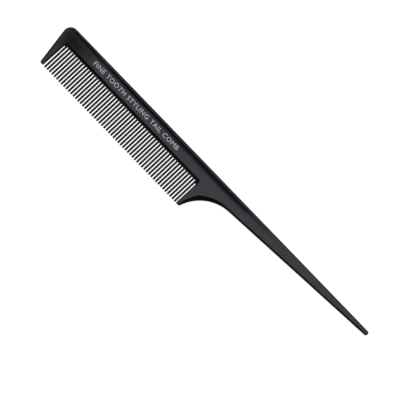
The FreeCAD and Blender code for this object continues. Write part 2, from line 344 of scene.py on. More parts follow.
# Shape of the body's edge along the outline. Each row stands at a corner's start (0) or end (1), moved on
# by some millimetres: (corner, end, moved on, radius of the rounding, width of the bevel, share of the half
# thickness left at the bevel's foot)
EDGE_SHAPE = (
    ("first_gap", 0, 0.0, 0.46, 0.48, 1.00),
    ("front_flare", 0, 0.0, 0.44, 0.48, 0.92),
    ("front_flare", 1, 0.0, 0.36, 0.95, 0.80),
    ("front_tip_inner", 0, -3.0, 0.36, 0.95, 0.78),
    ("front_tip_inner", 0, 0.0, 0.38, 0.42, 0.90),
    ("front_tip_inner", 1, 0.0, 0.41, 0.42, 0.85),
    ("front_tip_outer", 0, 0.0, 0.60, 0.72, 0.72),
    ("front_tip_outer", 1, 0.0, 0.60, 0.74, 0.68),
    ("front_tip_outer", 1, 3.0, 0.60, 1.25, 0.72),
    ("front_corner", 0, 0.0, 0.65, 1.20, 0.78),
    ("front_corner", 1, 0.0, 0.85, 0.90, 1.00),
    ("tip_upper", 0, 0.0, 0.80, 0.82, 1.00),
    ("tip_lower", 0, 0.0, 0.70, 0.82, 1.00),
    ("tip_lower", 1, 0.0, 0.55, 0.85, 0.85),
    ("tip_lower", 1, 3.0, 0.45, 1.00, 0.74),
    ("shoulder_tail", 0, 0.0, 0.45, 1.10, 0.70),
    ("shoulder_tail", 1, 0.0, 0.50, 2.75, 0.42),
    ("shoulder_guard", 1, -2.7, 0.50, 1.50, 0.55),
    ("shoulder_guard", 1, 0.0, 0.50, 0.85, 0.62),
    ("foot", 1, 0.0, 0.55, 0.62, 0.72),
    ("rear_tip_inner", 0, 0.0, 0.40, 0.42, 0.80),
    ("rear_tip_inner", 1, 0.0, 0.40, 0.42, 0.92),
    ("rear_flare", 0, 0.0, 0.30, 0.32, 1.00),
    ("rear_flare", 1, 0.0, 0.44, 0.46, 1.00),
    ("last_gap", 0, 0.0, 0.46, 0.48, 1.00),
)
EDGE_PLACES = [body.marks[row[0]][row[1]] + row[2] for row in EDGE_SHAPE]


def edge_shape(place):
    """Rounding, bevel width and bevel foot at a place along the body's outline."""
    return [np.interp(place, EDGE_PLACES, [row[column] for row in EDGE_SHAPE]) for column in (3, 4, 5)]


# ---------------------------------------------------------------- heights
def ease(share):
    """A share of 0 to 1 with a soft start and a soft end."""
    share = np.clip(share, 0, 1)
    return share * share * (3 - 2 * share)


def smooth_min(a, b, blend):
    """The lesser of two heights, rounded off where they are closer than blend."""
    near = np.clip(blend - np.abs(a - b), 0, None) / blend
    return np.minimum(a, b) - near * near * blend / 4


def face_half(x, y):
    """Half thickness of the open faces: bead, hollow and web, thinning along the tail."""
    along = np.clip((x - X_FRONT) / (X_ROOT_REAR - X_FRONT), 0, 1)
    into_tail = np.clip((x - X_ROOT_REAR) / (X_END - X_ROOT_REAR), 0, 1)
    bead = BEAD_HALF - TAIL_THINNING * into_tail**TAIL_THINNING_POWER
    depth = HOLLOW_DEPTH[0] + (HOLLOW_DEPTH[1] - HOLLOW_DEPTH[0]) * along
    depth = depth * (1 - ease((x - X_ROOT_REAR) / HOLLOW_RUNOUT))
    width = HOLLOW_WIDTH[0] + (HOLLOW_WIDTH[1] - HOLLOW_WIDTH[0]) * along
    down = np.minimum((Y_BACK - BEAD_WIDTH - y) / width, 1)
    hollow = bead - depth * (1 - (1 - down) ** 2)
    return smooth_min(bead, hollow, HOLLOW_BLEND)


def pocket_half(web, from_pocket):
    """Half thickness of the bevel between tooth roots (from_pocket 0) and web (from_pocket 1)."""
    return TOOTH_ROOT_HALF + np.maximum(web - TOOTH_ROOT_HALF, POCKET_LEAST_RISE) * from_pocket


def gap_dip(below, y, y_gap_top):
    """How far the pocket's bevel runs on towards the gap beside a guard, below the pocket's foot."""
    return np.clip(below, 0, None) * ease((y - y_gap_top) / DIP_FADE + 1)


def body_half(x, y):
    """Half thickness of spine, guards and tail at points of the plan."""
    guard = GUARD_TIP_HALF + (GUARD_ROOT_HALF - GUARD_TIP_HALF) * (y - Y_TIPS) / (Y_ROOT - Y_TIPS)
    half = smooth_min(face_half(x, y), guard, GUARD_BLEND)

    beside_front = np.clip(front_inner(y) - x, 0, None) * POCKET_SIDE_STEEPNESS[0]
    beside_rear = np.clip(x - rear_inner(y), 0, None) * POCKET_SIDE_STEEPNESS[1]
    above = y - Y_POCKET - root_rise(x)
    dip = gap_dip(-above, y, np.where(x < X_ROOT_MIDDLE, Y_FIRST_GAP_TOP, Y_LAST_GAP_TOP))
    from_floor = np.sqrt(beside_front**2 + beside_rear**2 + np.clip(above, 0, None) ** 2)
    bevel = pocket_half(half, (from_floor - dip) / POCKET_BEVEL)
    half = smooth_min(half, bevel, BEVEL_BLEND)

    away, place = body.nearest(x, y)
    away = np.clip(away - FLASH_REACH, 0, None)
    rounding, width, foot = edge_shape(place)
    bevel = half * (foot + (1 - foot) * away / width) + BEVEL_LIFT
    half = smooth_min(half, bevel, BEVEL_BLEND)
    return rounded_off(half, away, rounding)


def rounded_off(half, away, rounding):
    """Half thickness at a distance away in from the edge, rounded off down to the thin parting line."""
    inset = 1 - np.clip(away / rounding, 0, 1)
    return np.hypot(half * np.sqrt(1 - inset * inset), FLASH_HALF)


def tooth_half(x, y, x_root, outline, guard_side):
    """Half thickness of a tooth about x = 0, where the row's place is x_root.

    guard_side is -1 or 1 where a guard stands on that side, and 0 between other teeth.
    """
    y_foot = Y_POCKET + root_rise(x + x_root)
    taper = TOOTH_TIP_HALF + (TOOTH_ROOT_HALF - TOOTH_TIP_HALF) * (y - Y_TIPS) / (y_foot - Y_TIPS)
    web = face_half(x + x_root, y)
    half = np.where(y > y_foot, pocket_half(web, (y - y_foot) / POCKET_BEVEL), taper)
    from_ridge = np.hypot(x, RIDGE_SOFTNESS) - RIDGE_SOFTNESS
    half = half - TOOTH_CROWN * ease((y_foot - y) / CROWN_FADE) * from_ridge
    if guard_side:
        dip = gap_dip(y_foot - y, y, Y_FIRST_GAP_TOP if guard_side < 0 else Y_LAST_GAP_TOP)
        floor = pocket_half(web, -dip / POCKET_BEVEL)
        share = ease((guard_side * x - DIP_SIDE) / DIP_SIDE) * (y < y_foot)
        half = half + share * (floor - half)
    away, _ = outline.nearest(x, y)
    return rounded_off(half, np.clip(away - FLASH_REACH, 0, None), TOOTH_ROUNDING)


# ---------------------------------------------------------------- meshes
KEEP_INSIDE = 1  # the triangulation's output type that drops faces outside the ring
MERGE_DISTANCE = 1e-5
FILL_MARGIN = 0.12  # rows of inner points stay this far from the piece's strip and cut
STRIP_CLEARANCE = 0.02  # the cut's own points start this far beyond the strip
SLOPE_STEP = 1e-4  # for the slopes that a piece's normals come from
RING_ANGLES = np.radians((9, 19, 30, 42, 55, 70, 90))  # round the edge
RING_SHARES = (0.45, 0.8, 0.92, 1.0)  # from the rounding's end to a little past the bevel
PAST_BEVEL = 1.08


def inside(points, polygon):
    """Which points of the plan lie inside a polygon."""
    x, y = points[:, 0], points[:, 1]
    found = np.zeros(len(points), bool)
    for (x0, y0), (x1, y1) in zip(polygon, np.roll(polygon, -1, 0)):
        if y0 == y1:
            continue
        crosses = (y0 > y) != (y1 > y)
        found ^= crosses & (x < x0 + (y - y0) * (x1 - x0) / (y1 - y0))
    return found


def clearance(points, polygon):
    """Distance from points of the plan to a polygon's sides."""
    best = np.full(len(points), np.inf)
    for start, end in zip(polygon, np.roll(polygon, -1, 0)):
        along = end - start
        size = along @ along
        if size < SMALLEST**2:
            continue
        share = np.clip((points - start) @ along / size, 0, 1)
        away = np.linalg.norm(points - start - share[:, None] * along, axis=1)
        best = np.minimum(best, away)
    return best


def fill(polygon, rows, margin):
    """Triangles over a polygon, through rows of inner points: the inner points kept, and the faces."""
    kept = []
    edges = []
    count = len(polygon)
    for row in rows:
        good = inside(row, polygon) & (clearance(row, polygon) > margin)
        middle = (row[:-1] + row[1:]) / 2
        joined = inside(middle, polygon) & (clearance(middle, polygon) > margin / 2)
        previous = None
        for i, point in enumerate(row):
            if good[i]:
                kept.append(point)
                if previous == i - 1 and joined[i - 1]:
                    edges.append((count - 1, count))
                previous = i
                count += 1
    points = [Vector(p) for p in polygon] + [Vector(p) for p in kept]
    ring = list(range(len(polygon)))[::-1]
    verts, _, faces, origin, _, _ = delaunay_2d_cdt(points, edges, [ring], KEEP_INSIDE, MERGE_DISTANCE)
    if len(verts) != len(points) or any(len(o) != 1 for o in origin):
        raise RuntimeError(f"the fill added or lost points: {len(points)} became {len(verts)}")
    triangles = []
    for face in faces:
        a, b, c = (origin[v][0] for v in face)
        turn = (points[b] - points[a]).cross(points[c] - points[a])
        triangles.append((a, b, c) if turn > 0 else (a, c, b))
    return np.array(kept).reshape(-1, 2), triangles


def ring_depths(edge_radius, width):
    """How far in from the outline each ring of the strip along it lies."""
    rounded = FLASH_REACH + edge_radius * (1 - np.cos(RING_ANGLES))
    inner = np.maximum(width, edge_radius) + FLASH_REACH
    start = FLASH_REACH + edge_radius
    beyond = [start + (PAST_BEVEL * inner - start) * share for share in RING_SHARES]
    return np.array([0.0, FLASH_REACH, *rounded, *beyond])


def lay_out(outline, places, skew, depths, cut, rows, margin=FILL_MARGIN):
    """The plan of one piece: its points, its faces, and the outward normal at each place on its outline.

    The piece is bounded by a free stretch of the outline, at the given places, and by cut, the points that
    lead from the stretch's end back to its start. Along the stretch runs a strip, with a ring of points at
    each of the depths; skew turns the strip's ribs away from square to the outline.
    """
    on_line, inward = map(np.array, zip(*(outline.at(p) for p in places)))
    cosine, sine = np.cos(skew), np.sin(skew)
    rib = np.stack(
        [inward[:, 0] * cosine + inward[:, 1] * sine, inward[:, 1] * cosine - inward[:, 0] * sine], -1
    )
    rib /= cosine[:, None]
    strip = on_line[:, None] + rib[:, None] * depths[:, :, None]
    stations, rings = depths.shape

    cut = np.array(cut, float)
    past_start = np.linalg.norm(cut - on_line[0], axis=1) - depths[0, -1] / cosine[0]
    past_end = np.linalg.norm(cut - on_line[-1], axis=1) - depths[-1, -1] / cosine[-1]
    cut = cut[(past_start > STRIP_CLEARANCE) & (past_end > STRIP_CLEARANCE)]

    kept, triangles = fill(np.concatenate([strip[:, -1], cut]), rows, margin)
    index = np.arange(stations * rings).reshape(stations, rings)
    cut_index = index.size + np.arange(len(cut))
    hole_index = np.concatenate([index[:, -1], index.size + np.arange(len(cut) + len(kept))])
    quads = [
        (index[i, j], index[i, j + 1], index[i + 1, j + 1], index[i + 1, j])
        for i in range(stations - 1)
        for j in range(rings - 1)
    ]
    return {
        "plan": np.concatenate([strip.reshape(-1, 2), cut, kept]),
        "faces": quads + [tuple(hole_index[v] for v in triangle) for triangle in triangles],
        "parting": set(index[:, 0]),
        "loop": [*index[:, 0], *index[-1, 1:], *cut_index, *index[0, :0:-1]],
        "beside_parting": index[:, 1],
        "outward": np.column_stack([-inward, np.zeros(stations)]),
    }


def raise_up(layout, half):
    """A closed body of two mirrored faces over a plan: points, faces and one normal per face corner."""
    plan = layout["plan"]
    x, y, step = plan[:, 0], plan[:, 1], SLOPE_STEP
    height = half(x, y)
    slope_x = (half(x + step, y) - half(x - step, y)) / (2 * step)
    slope_y = (half(x, y + step) - half(x, y - step)) / (2 * step)
    normal = np.stack([-slope_x, -slope_y, np.ones(len(plan))], -1)
    normal /= np.linalg.norm(normal, axis=1)[:, None]
    outward = layout["outward"]
    normal[layout["beside_parting"]] = outward

    total = len(plan)
    upper, lower = (np.column_stack([plan, Z_MID + side * height]) for side in (1, -1))
    points = np.concatenate([upper, lower])
    flip = np.array([1, 1, -1])
    up = np.array([0.0, 0.0, 1.0])
    faces, normals = [], []
    for face in layout["faces"]:
        on_parting = any(v in layout["parting"] for v in face)
        corners = [up if on_parting else normal[v] for v in face]
        faces.append(face)
        normals.extend(corners)
        faces.append(tuple(total + v for v in reversed(face)))
        normals.extend(n * flip for n in reversed(corners))

    loop = layout["loop"]
    for k, a in enumerate(loop):
        b = loop[(k + 1) % len(loop)]
        faces.append((a, b, total + b, total + a))
        if k < len(outward) - 1:
            normals.extend(outward[m] for m in (k, k + 1, k + 1, k))
        else:
            along = plan[b] - plan[a]
            normals.extend([unit(np.array([-along[1], along[0], 0.0]))] * 4)
    return points, faces, np.array(normals)


def add_object(name, data):
    """A new object in the scene."""
    made = bpy.data.objects.new(name, data)
    bpy.context.scene.collection.objects.link(made)
    return made


def make_piece(node, points, faces, normals):
    """A Blender object in metres that stands for a CAD node."""
    name = node + "_shell"
    mesh = bpy.data.meshes.new(name)
    mesh.from_pydata((points * MM).tolist(), [], [tuple(int(v) for v in f) for f in faces])
    mesh.shade_smooth()
    mesh.normals_split_custom_set(normals.tolist())
    mesh.materials.append(plastic)
    piece = add_object(name, mesh)
    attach(piece, "root")
    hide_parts(node)


def spaced(start, end, step):
    """Points of the plan from start to end, evenly spaced."""
    start, end = np.array(start, float), np.array(end, float)
    steps = max(1, math.ceil(np.linalg.norm(end - start) / step))
    return [start + (end - start) * i / steps for i in range(steps + 1)]


def row_grid(x_low, x_high, x_step, levels):
    """Rows of plan points, one row for each level of y."""
    xs = np.arange(x_low, x_high + x_step / 2, x_step)
    return [np.column_stack([xs, np.full(len(xs), y)]) for y in levels]


# ---------------------------------------------------------------- materials
NOISE_RANGE = (0.3, 0.7)  # nearly all values of a noise texture lie between these
PLASTIC_TINTS = ((0.0010, 0.0009, 0.0012), (0.0120, 0.0106, 0.0134))
PLASTIC_ROUGHNESS = (0.16, 0.20)
INK_TINTS = ((0.84, 0.90, 0.88), (0.93, 1.00, 0.98))
INK_ROUGHNESS = (0.5, 0.75)


def noise(tree, coords, scale, detail):
    """A noise texture, with scale in cells per metre."""
    node = tree.nodes.new("ShaderNodeTexNoise")
    node.inputs["Scale"].default_value = scale
    node.inputs["Detail"].default_value = detail
    tree.links.new(coords, node.inputs["Vector"])
    return node.outputs["Fac"]


def map_range(tree, value, start, end, low=0.0, high=1.0):
    """A node that turns values from start to end into values from low to high."""
    node = tree.nodes.new("ShaderNodeMapRange")
    node.inputs["From Min"].default_value = start
    node.inputs["From Max"].default_value = end
    node.inputs["To Min"].default_value = low
    node.inputs["To Max"].default_value = high
    tree.links.new(value, node.inputs["Value"])
    return node


def spread(tree, value, low, high):
    """A noise value stretched over low to high."""
    return map_range(tree, value, *NOISE_RANGE, low, high).outputs["Result"]


def bump(tree, height, distance, strength, normal=None):
    """A shading normal from a height in metres."""
    node = tree.nodes.new("ShaderNodeBump")
    node.inputs["Distance"].default_value = distance
    node.inputs["Strength"].default_value = strength
    tree.links.new(height, node.inputs["Height"])
    if normal is not None:
        tree.links.new(normal, node.inputs["Normal"])
    return node.outputs["Normal"]


def new_material(name):
    """A material with its node tree and its shader."""
    material = bpy.data.materials.new(name)
    material.use_nodes = True
    return material, material.node_tree, material.node_tree.nodes["Principled BSDF"]


def uneven_finish(tree, shader, tint_noise, tints, gloss_noise, roughness):
    """Colour and roughness that wander between two values each."""
    tint = tree.nodes.new("ShaderNodeMix")
    tint.data_type = "RGBA"
    tint.inputs["A"].default_value = (*tints[0], 1)
    tint.inputs["B"].default_value = (*tints[1], 1)
    tree.links.new(spread(tree, tint_noise, 0, 1), tint.inputs["Factor"])
    tree.links.new(tint.outputs["Result"], shader.inputs["Base Color"])
    tree.links.new(spread(tree, gloss_noise, *roughness), shader.inputs["Roughness"])


def black_plastic():
    """Satin black moulded plastic: fine grain, faint flow marks, and gently uneven faces."""
    material, tree, shader = new_material("moulded_plastic")
    coords = tree.nodes.new("ShaderNodeTexCoord").outputs["Object"]
    flow = noise(tree, coords, scale=150, detail=6)
    gloss = noise(tree, coords, scale=900, detail=4)
    uneven_finish(tree, shader, flow, PLASTIC_TINTS, gloss, PLASTIC_ROUGHNESS)
    waves = bump(tree, noise(tree, coords, scale=60, detail=1), distance=0.0005, strength=0.5)
    fine = noise(tree, coords, scale=5200, detail=2)
    grain = bump(tree, fine, distance=0.00001, strength=0.25, normal=waves)
    tree.links.new(grain, shader.inputs["Normal"])
    return material


def white_ink():
    """Flat white printing ink, a little thin in places."""
    material, tree, shader = new_material("white_ink")
    coords = tree.nodes.new("ShaderNodeTexCoord").outputs["Object"]
    cover = noise(tree, coords, scale=2600, detail=5)
    gloss = noise(tree, coords, scale=4000, detail=3)
    uneven_finish(tree, shader, cover, INK_TINTS, gloss, INK_ROUGHNESS)
    grain = bump(tree, noise(tree, coords, scale=9000, detail=2), distance=0.000008, strength=0.4)
    tree.links.new(grain, shader.inputs["Normal"])
    return material


plastic = black_plastic()
ink = white_ink()

# ---------------------------------------------------------------- spine, guards and tail
FRONT_CUT = body.marks["front_cut"][0]
BACK_CUT = body.marks["back_cut"][0]
SHOULDER_CUT = body.marks["shoulder_tail"][1]
FRONT_ROOT = (front_edge(Y_ROOT), Y_ROOT)
GAP_CORNER = (X_ROOT_FRONT, Y_ROOT)
BACK_CORNER = (X_ROOT_REAR, Y_BACK)

# The strip's ribs stand square to the outline, and lie level along the leaning front edge, where the cut
# between the spine and the front guard is level too.
SKEW_PLACES = [*body.marks["front_tip_outer"], *body.marks["front_corner"]]
SKEW_ANGLES = [0.0, FRONT_LEAN_ANGLE, FRONT_LEAN_ANGLE, 0.0]

LINE_STEP = 2.0  # along the straight stretches of the outline
GUARD_LINE_STEP = 0.4
ARC_STEP = 8.0  # degrees
TAIL_ARC_STEP = 6.0

CUT_STEP = 0.3
ROOT_CUT_STEP = 1.0  # along the tooth roots
CORNER_CUT_STEP = 0.15
GAP_CUT_STEP = 0.1

FAR_STEP = 1.5  # between a row's points, away from the pocket's corners
CLOSE_STEP = 0.08  # at the pocket's front corner
CLOSE_REACH = (1.2, 0.3)  # how far the close points go before and past that corner
LEAST_STEP = 0.05
ROW_DIGITS = 4
CLOSE_ROWS = 0.12  # between the rows of the guards and the tail near the tooth roots
Y_FRONT_CLOSE = 1.5  # the rows of the front guard are that close from here up
Y_REAR_CLOSE = 0.5  # the same for the rear guard
Y_TAIL_CLOSE = (3.1, 4.9)  # and for the tail, between these two levels

# Levels of the rows of inner points: round the top of the bevel above the tooth roots, across the hollow,
# and round the crest where the hollow meets the bead.
Y_CREST = Y_BACK - BEAD_WIDTH
Y_BEVEL_TOP = Y_POCKET + POCKET_BEVEL
Y_SLANT_TOP = 5.2  # the spine's rows below this follow the slant of the tooth roots
Y_HOLLOW_ROWS = 5.4
HOLLOW_ROWS = 0.45
BEVEL_OFFSETS = (*np.arange(-0.85, -0.1, 0.1), -0.08, -0.03, 0.03, 0.08, 0.15, 0.25)
CREST_OFFSETS = (-0.4, -0.2, -0.1, -0.05, -0.02, 0.02, 0.06)
BEVEL_LEVELS = [Y_BEVEL_TOP + offset for offset in BEVEL_OFFSETS]
HOLLOW_LEVELS = list(np.arange(Y_HOLLOW_ROWS, Y_CREST - 0.5, HOLLOW_ROWS))
CREST_LEVELS = [Y_CREST + offset for offset in CREST_OFFSETS]


def body_piece(node, start, end, cut, rows, line_step=LINE_STEP, arc_step=ARC_STEP):
    """One piece of the body, between two places along its outline."""
    places = body.places(start, end, line_step, arc_step)
    skew = np.interp(places, SKEW_PLACES, SKEW_ANGLES)
    depths = np.array([ring_depths(*edge_shape(place)[:2]) for place in places])
    make_piece(node, *raise_up(lay_out(body, places, skew, depths, cut, rows), body_half))


def spine_row(level):
    """A row of the spine's inner points, closer together at the pocket's front corner."""
    slanted = level < Y_SLANT_TOP
    near = np.arange(X_ROOT_FRONT - CLOSE_REACH[0], X_ROOT_FRONT + CLOSE_REACH[1], CLOSE_STEP)
    far = np.arange(X_FRONT + 0.5, X_ROOT_REAR - 0.2, FAR_STEP)
    xs = np.unique(np.round(np.concatenate([near, far]) if slanted else far, ROW_DIGITS))
    xs = xs[np.concatenate([[True], np.diff(xs) > LEAST_STEP])]
    rise = root_rise(xs) if slanted else np.zeros(len(xs))
    return np.column_stack([xs, level + rise])


def tail_row(level):
    """A row of the tail's inner points, closer together at the pocket's rear corner."""
    beside_corner = Y_ROOT - 0.3 < level < Y_TAIL_CLOSE[1]
    near = np.arange(0.1, 0.9, 0.1) if beside_corner else [0.2, 0.5, 0.8]
    far = np.arange(2.2, X_END - X_ROOT_REAR, FAR_STEP)
    xs = X_ROOT_REAR + np.concatenate([near, [1.1, 1.4, 1.7, 2.0], far])
    return np.column_stack([xs, np.full(len(xs), level)])


def make_spine():
    """The back of the comb, down to the tooth roots."""
    cut = spaced(BACK_CORNER, ROOT_CORNER, CUT_STEP)[1:]
    cut += spaced(ROOT_CORNER, GAP_CORNER, ROOT_CUT_STEP)[1:]
    cut += spaced(GAP_CORNER, FRONT_ROOT, CORNER_CUT_STEP)[1:]
    rows = [spine_row(level) for level in sorted(BEVEL_LEVELS + HOLLOW_LEVELS + CREST_LEVELS)]
    body_piece("spine", FRONT_CUT, BACK_CUT, cut, rows)


def make_front_guard():
    """The guard tooth at the front end, with rows that are close together above Y_FRONT_CLOSE."""
    cut = spaced(FRONT_ROOT, GAP_CORNER, CORNER_CUT_STEP)[1:]
    cut += spaced(GAP_CORNER, (X_ROOT_FRONT, Y_FIRST_GAP_TOP), GAP_CUT_STEP)[1:]
    lower = np.arange(Y_FRONT_TIP + 0.3, Y_FRONT_CLOSE - 0.2, 0.5)
    upper = np.arange(Y_FRONT_CLOSE, Y_ROOT - 0.1, CLOSE_ROWS)
    rows = row_grid(X_FRONT, X_ROOT_FRONT, 0.2, lower) + row_grid(X_FRONT, X_ROOT_FRONT, 0.1, upper)
    body_piece("front_guard", 0.0, FRONT_CUT, cut, rows, line_step=GUARD_LINE_STEP)


def make_tail():
    """The handle, with the tail's half of the shoulder."""
    cut = spaced(cut_point, ROOT_CORNER, CUT_STEP)[1:]
    cut += spaced(ROOT_CORNER, BACK_CORNER, CUT_STEP)[1:]
    lower = np.arange(-2.9, 2.9, 0.4)
    middle = np.arange(*Y_TAIL_CLOSE, CLOSE_ROWS)
    levels = [*lower, *middle, 5.1, *HOLLOW_LEVELS, *CREST_LEVELS]
    rows = [tail_row(level) for level in levels]
    body_piece("tail", BACK_CUT, SHOULDER_CUT, cut, rows, arc_step=TAIL_ARC_STEP)


def make_rear_guard():
    """The guard tooth at the tail end, with its half of the shoulder."""
    cut = spaced((X_ROOT_REAR, Y_LAST_GAP_TOP), ROOT_CORNER, GAP_CUT_STEP)[1:]
    cut += spaced(ROOT_CORNER, cut_point, CUT_STEP)[1:]
    x_low, x_high = X_ROOT_REAR - 0.4, 2.0
    lower = np.arange(Y_REAR_TIP + 0.3, Y_REAR_CLOSE - 0.2, 0.4)
    upper = np.arange(Y_REAR_CLOSE, Y_ROOT - 0.1, CLOSE_ROWS)
    rows = row_grid(x_low, x_high, 0.3, lower) + row_grid(x_low, x_high, 0.12, upper)
    body_piece("rear_guard", SHOULDER_CUT, body.length, cut, rows, line_step=GUARD_LINE_STEP)


make_spine()
make_front_guard()
make_tail()
make_rear_guard()

# ---------------------------------------------------------------- teeth
TOOTH_LINE_STEP = 1.6
TOOTH_ARC_STEP = 15.0  # degrees
TOOTH_FILL_MARGIN = 0.02
TIP_REACH = 0.3  # a CAD tooth's lean is read from the points this far up from its tip
RIDGE = np.arange(Y_TIPS + 0.55, Y_POCKET - 1.1, 0.8)
TOOTH_ROOT_ROWS = np.arange(Y_POCKET - 0.9, Y_ROOT, 0.15)


def tooth_plan(outline, y_before, y_after):
    """The plan of a tooth, with a row of points along its ridge and more of them at its root."""
    places = outline.places(0.0, outline.length, TOOTH_LINE_STEP, TOOTH_ARC_STEP)
    rings = ring_depths(TOOTH_ROUNDING, TOOTH_ROUNDING)[: -len(RING_SHARES)]
    depths = np.array([rings for _ in places])
    left, right = -PITCH / 2, PITCH / 2
    cut = spaced((left, y_before), (left, Y_ROOT), CORNER_CUT_STEP)[1:]
    cut += spaced((left, Y_ROOT), (right, Y_ROOT), CUT_STEP)[1:]
    cut += spaced((right, Y_ROOT), (right, y_after), CORNER_CUT_STEP)[1:]
    rows = [np.column_stack([np.zeros(len(RIDGE)), RIDGE])]
    rows += row_grid(-0.8, 0.8, 0.2, TOOTH_ROOT_ROWS)
    return lay_out(outline, places, np.zeros(len(places)), depths, cut, rows, TOOTH_FILL_MARGIN)


def tooth_lean(node, x_root):
    """How far a CAD tooth leans, from the middle of its tip."""
    points = np.array([v.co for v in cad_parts[node].data.vertices]) / MM
    tip = points[points[:, 1] < Y_TIPS + TIP_REACH]
    x_tip = (tip[:, 0].min() + tip[:, 0].max()) / 2
    return (x_tip - x_root) / (Y_TIPS + TIP_REACH - Y_ROOT)


def make_tooth(node, x_root, y_before, y_after, guard_side):
    """A tooth, laid out upright and then leaned as its CAD node leans."""
    outline = tooth_outline(y_before, y_after)
    plan = tooth_plan(outline, y_before, y_after)
    points, faces, normals = raise_up(plan, lambda x, y: tooth_half(x, y, x_root, outline, guard_side))
    lean = tooth_lean(node, x_root)
    points[:, 0] += x_root + lean * (points[:, 1] - Y_ROOT)
    normals[:, 1] -= lean * normals[:, 0]
    normals /= np.linalg.norm(normals, axis=1)[:, None]
    make_piece(node, points, faces, normals)


gap_tops = [Y_GAP_TOP + root_rise(X_ROOT_FRONT + gap * PITCH) for gap in range(len(TOOTH_NAMES) + 1)]
gap_tops[0], gap_tops[-1] = Y_FIRST_GAP_TOP, Y_LAST_GAP_TOP
guard_sides = [-1] + [0] * (len(TOOTH_NAMES) - 2) + [1]
for number, node in enumerate(TOOTH_NAMES):
    x_root = X_ROOT_FRONT + (number + 0.5) * PITCH
    make_tooth(node, x_root, gap_tops[number], gap_tops[number + 1], guard_sides[number])

# ---------------------------------------------------------------- printed legend
LEGEND = "FINE TOOTH STYLING TAIL COMB"
LEGEND_X = (-85.6, -25.3)
LEGEND_Y = (6.18, 8.58)
LETTER_SPACING = 1.1
LETTER_CURVE_STEPS = 3
LETTER_SLICE = 0.35  # the letters are cut into bands this high, to follow the hollow
LETTER_MERGE = 1e-4
INK_HALF = 0.02


def flat_lettering():
    """The legend as a flat mesh."""
    text = bpy.data.curves.new("legend", "FONT")
    text.body = LEGEND
    text.resolution_u = LETTER_CURVE_STEPS
    text.space_character = LETTER_SPACING
    text_object = add_object("legend_text", text)
    graph = bpy.context.evaluated_depsgraph_get()
    flat = bpy.data.meshes.new_from_object(text_object.evaluated_get(graph))
    bpy.data.objects.remove(text_object)
    return flat


def stretched_lettering(flat):
    """The letters stretched over their place on the web, in millimetres, and cut into bands."""
    plan = np.array([v.co[:2] for v in flat.vertices])
    low, high = plan.min(0), plan.max(0)
    wanted_low, wanted_high = np.column_stack([LEGEND_X, LEGEND_Y])
    work = bmesh.new()
    work.from_mesh(flat)
    for vertex in work.verts:
        share = (np.array(vertex.co[:2]) - low) / (high - low)
        vertex.co = (*(wanted_low + share * (wanted_high - wanted_low)), 0)
    bmesh.ops.remove_doubles(work, verts=work.verts, dist=LETTER_MERGE)
    for level in np.arange(LEGEND_Y[0] + LETTER_SLICE, LEGEND_Y[1], LETTER_SLICE):
        everything = work.verts[:] + work.edges[:] + work.faces[:]
        bmesh.ops.bisect_plane(work, geom=everything, plane_co=(0, level, 0), plane_no=(0, 1, 0))
    bmesh.ops.triangulate(work, faces=work.faces)
    bmesh.ops.recalc_face_normals(work, faces=work.faces)
    if sum(face.normal.z for face in work.faces) < 0:
        bmesh.ops.reverse_faces(work, faces=work.faces)
    return work


def thicken(work):
    """Turn the flat letters into a thin skin of ink, half sunk into the comb's upper surface."""
    skin = bmesh.ops.extrude_face_region(work, geom=work.faces[:])
    upper = {e for e in skin["geom"] if isinstance(e, bmesh.types.BMVert)}
    xs = np.array([v.co.x for v in work.verts])
    ys = np.array([v.co.y for v in work.verts])
    surface = Z_MID + body_half(xs, ys)
    for vertex, z in zip(work.verts, surface):
        vertex.co.z = z + (INK_HALF if vertex in upper else -INK_HALF)
    bmesh.ops.recalc_face_normals(work, faces=work.faces)


def put_in_order(parts, place):
    """Sort points or faces by their place, because Blender makes the skin's sides in no fixed order."""
    order = {part: number for number, part in enumerate(sorted(parts, key=place))}
    parts.sort(key=order.get)


def printed_legend():
    """Generic white lettering on the upper web."""
    work = stretched_lettering(flat_lettering())
    thicken(work)
    bmesh.ops.scale(work, vec=(MM, MM, MM), verts=work.verts)
    put_in_order(work.verts, lambda vertex: tuple(vertex.co))
    put_in_order(work.faces, lambda face: tuple(face.calc_center_median()))
    mesh = bpy.data.meshes.new("legend_print")
    work.to_mesh(mesh)
    work.free()
    mesh.materials.append(ink)
    piece = add_object("legend_print", mesh)
    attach(piece, "root")


printed_legend()

# ---------------------------------------------------------------- floor, light and camera
FLOOR_HALF = 4.0  # metres
FLOOR_COLOUR = (0.12, 0.12, 0.12, 1)
FLOOR_GLOW = (1.0, 0.980, 0.953, 1)
FLOOR_GLOW_STRENGTH = 1.005

LIGHT_LEAN = math.radians(30)  # the soft overhead light leans this far from straight above
LIGHT_HEADING = Vector((-0.26, 0.966, 0))  # towards the comb's back edge
LIGHT_EDGES = (math.cos(math.radians(48)), math.cos(math.radians(38)))  # it fades in between these
ROOM_COLOUR = (0.03, 0.03, 0.03, 1)
LIGHT_COLOUR = (1.13, 1.10, 1.24, 1)
LOW_LIGHT = 0.3
LOW_LIGHT_EDGES = (math.cos(math.radians(66)), math.cos(math.radians(78)))
LOW_LIGHT_SIDE = 0.3
SEEN_BACKGROUND = (0.92, 0.92, 0.92, 1)

FLAG_HALF = 0.021  # metres
FLAG_HEIGHT = 0.06
FLAG_PLACE = Vector((-99.5 * MM, 8.0 * MM, 0))  # where the comb's face mirrors the card
ROUGH_CAMERA_HEIGHT = 0.84

VIEW_TURN = math.radians(46)
VIEW_WIDTH = 201.5
VIEW_CENTRE = (0.83, -2.52)
LENS = 150.0
SENSOR_WIDTH = 36.0


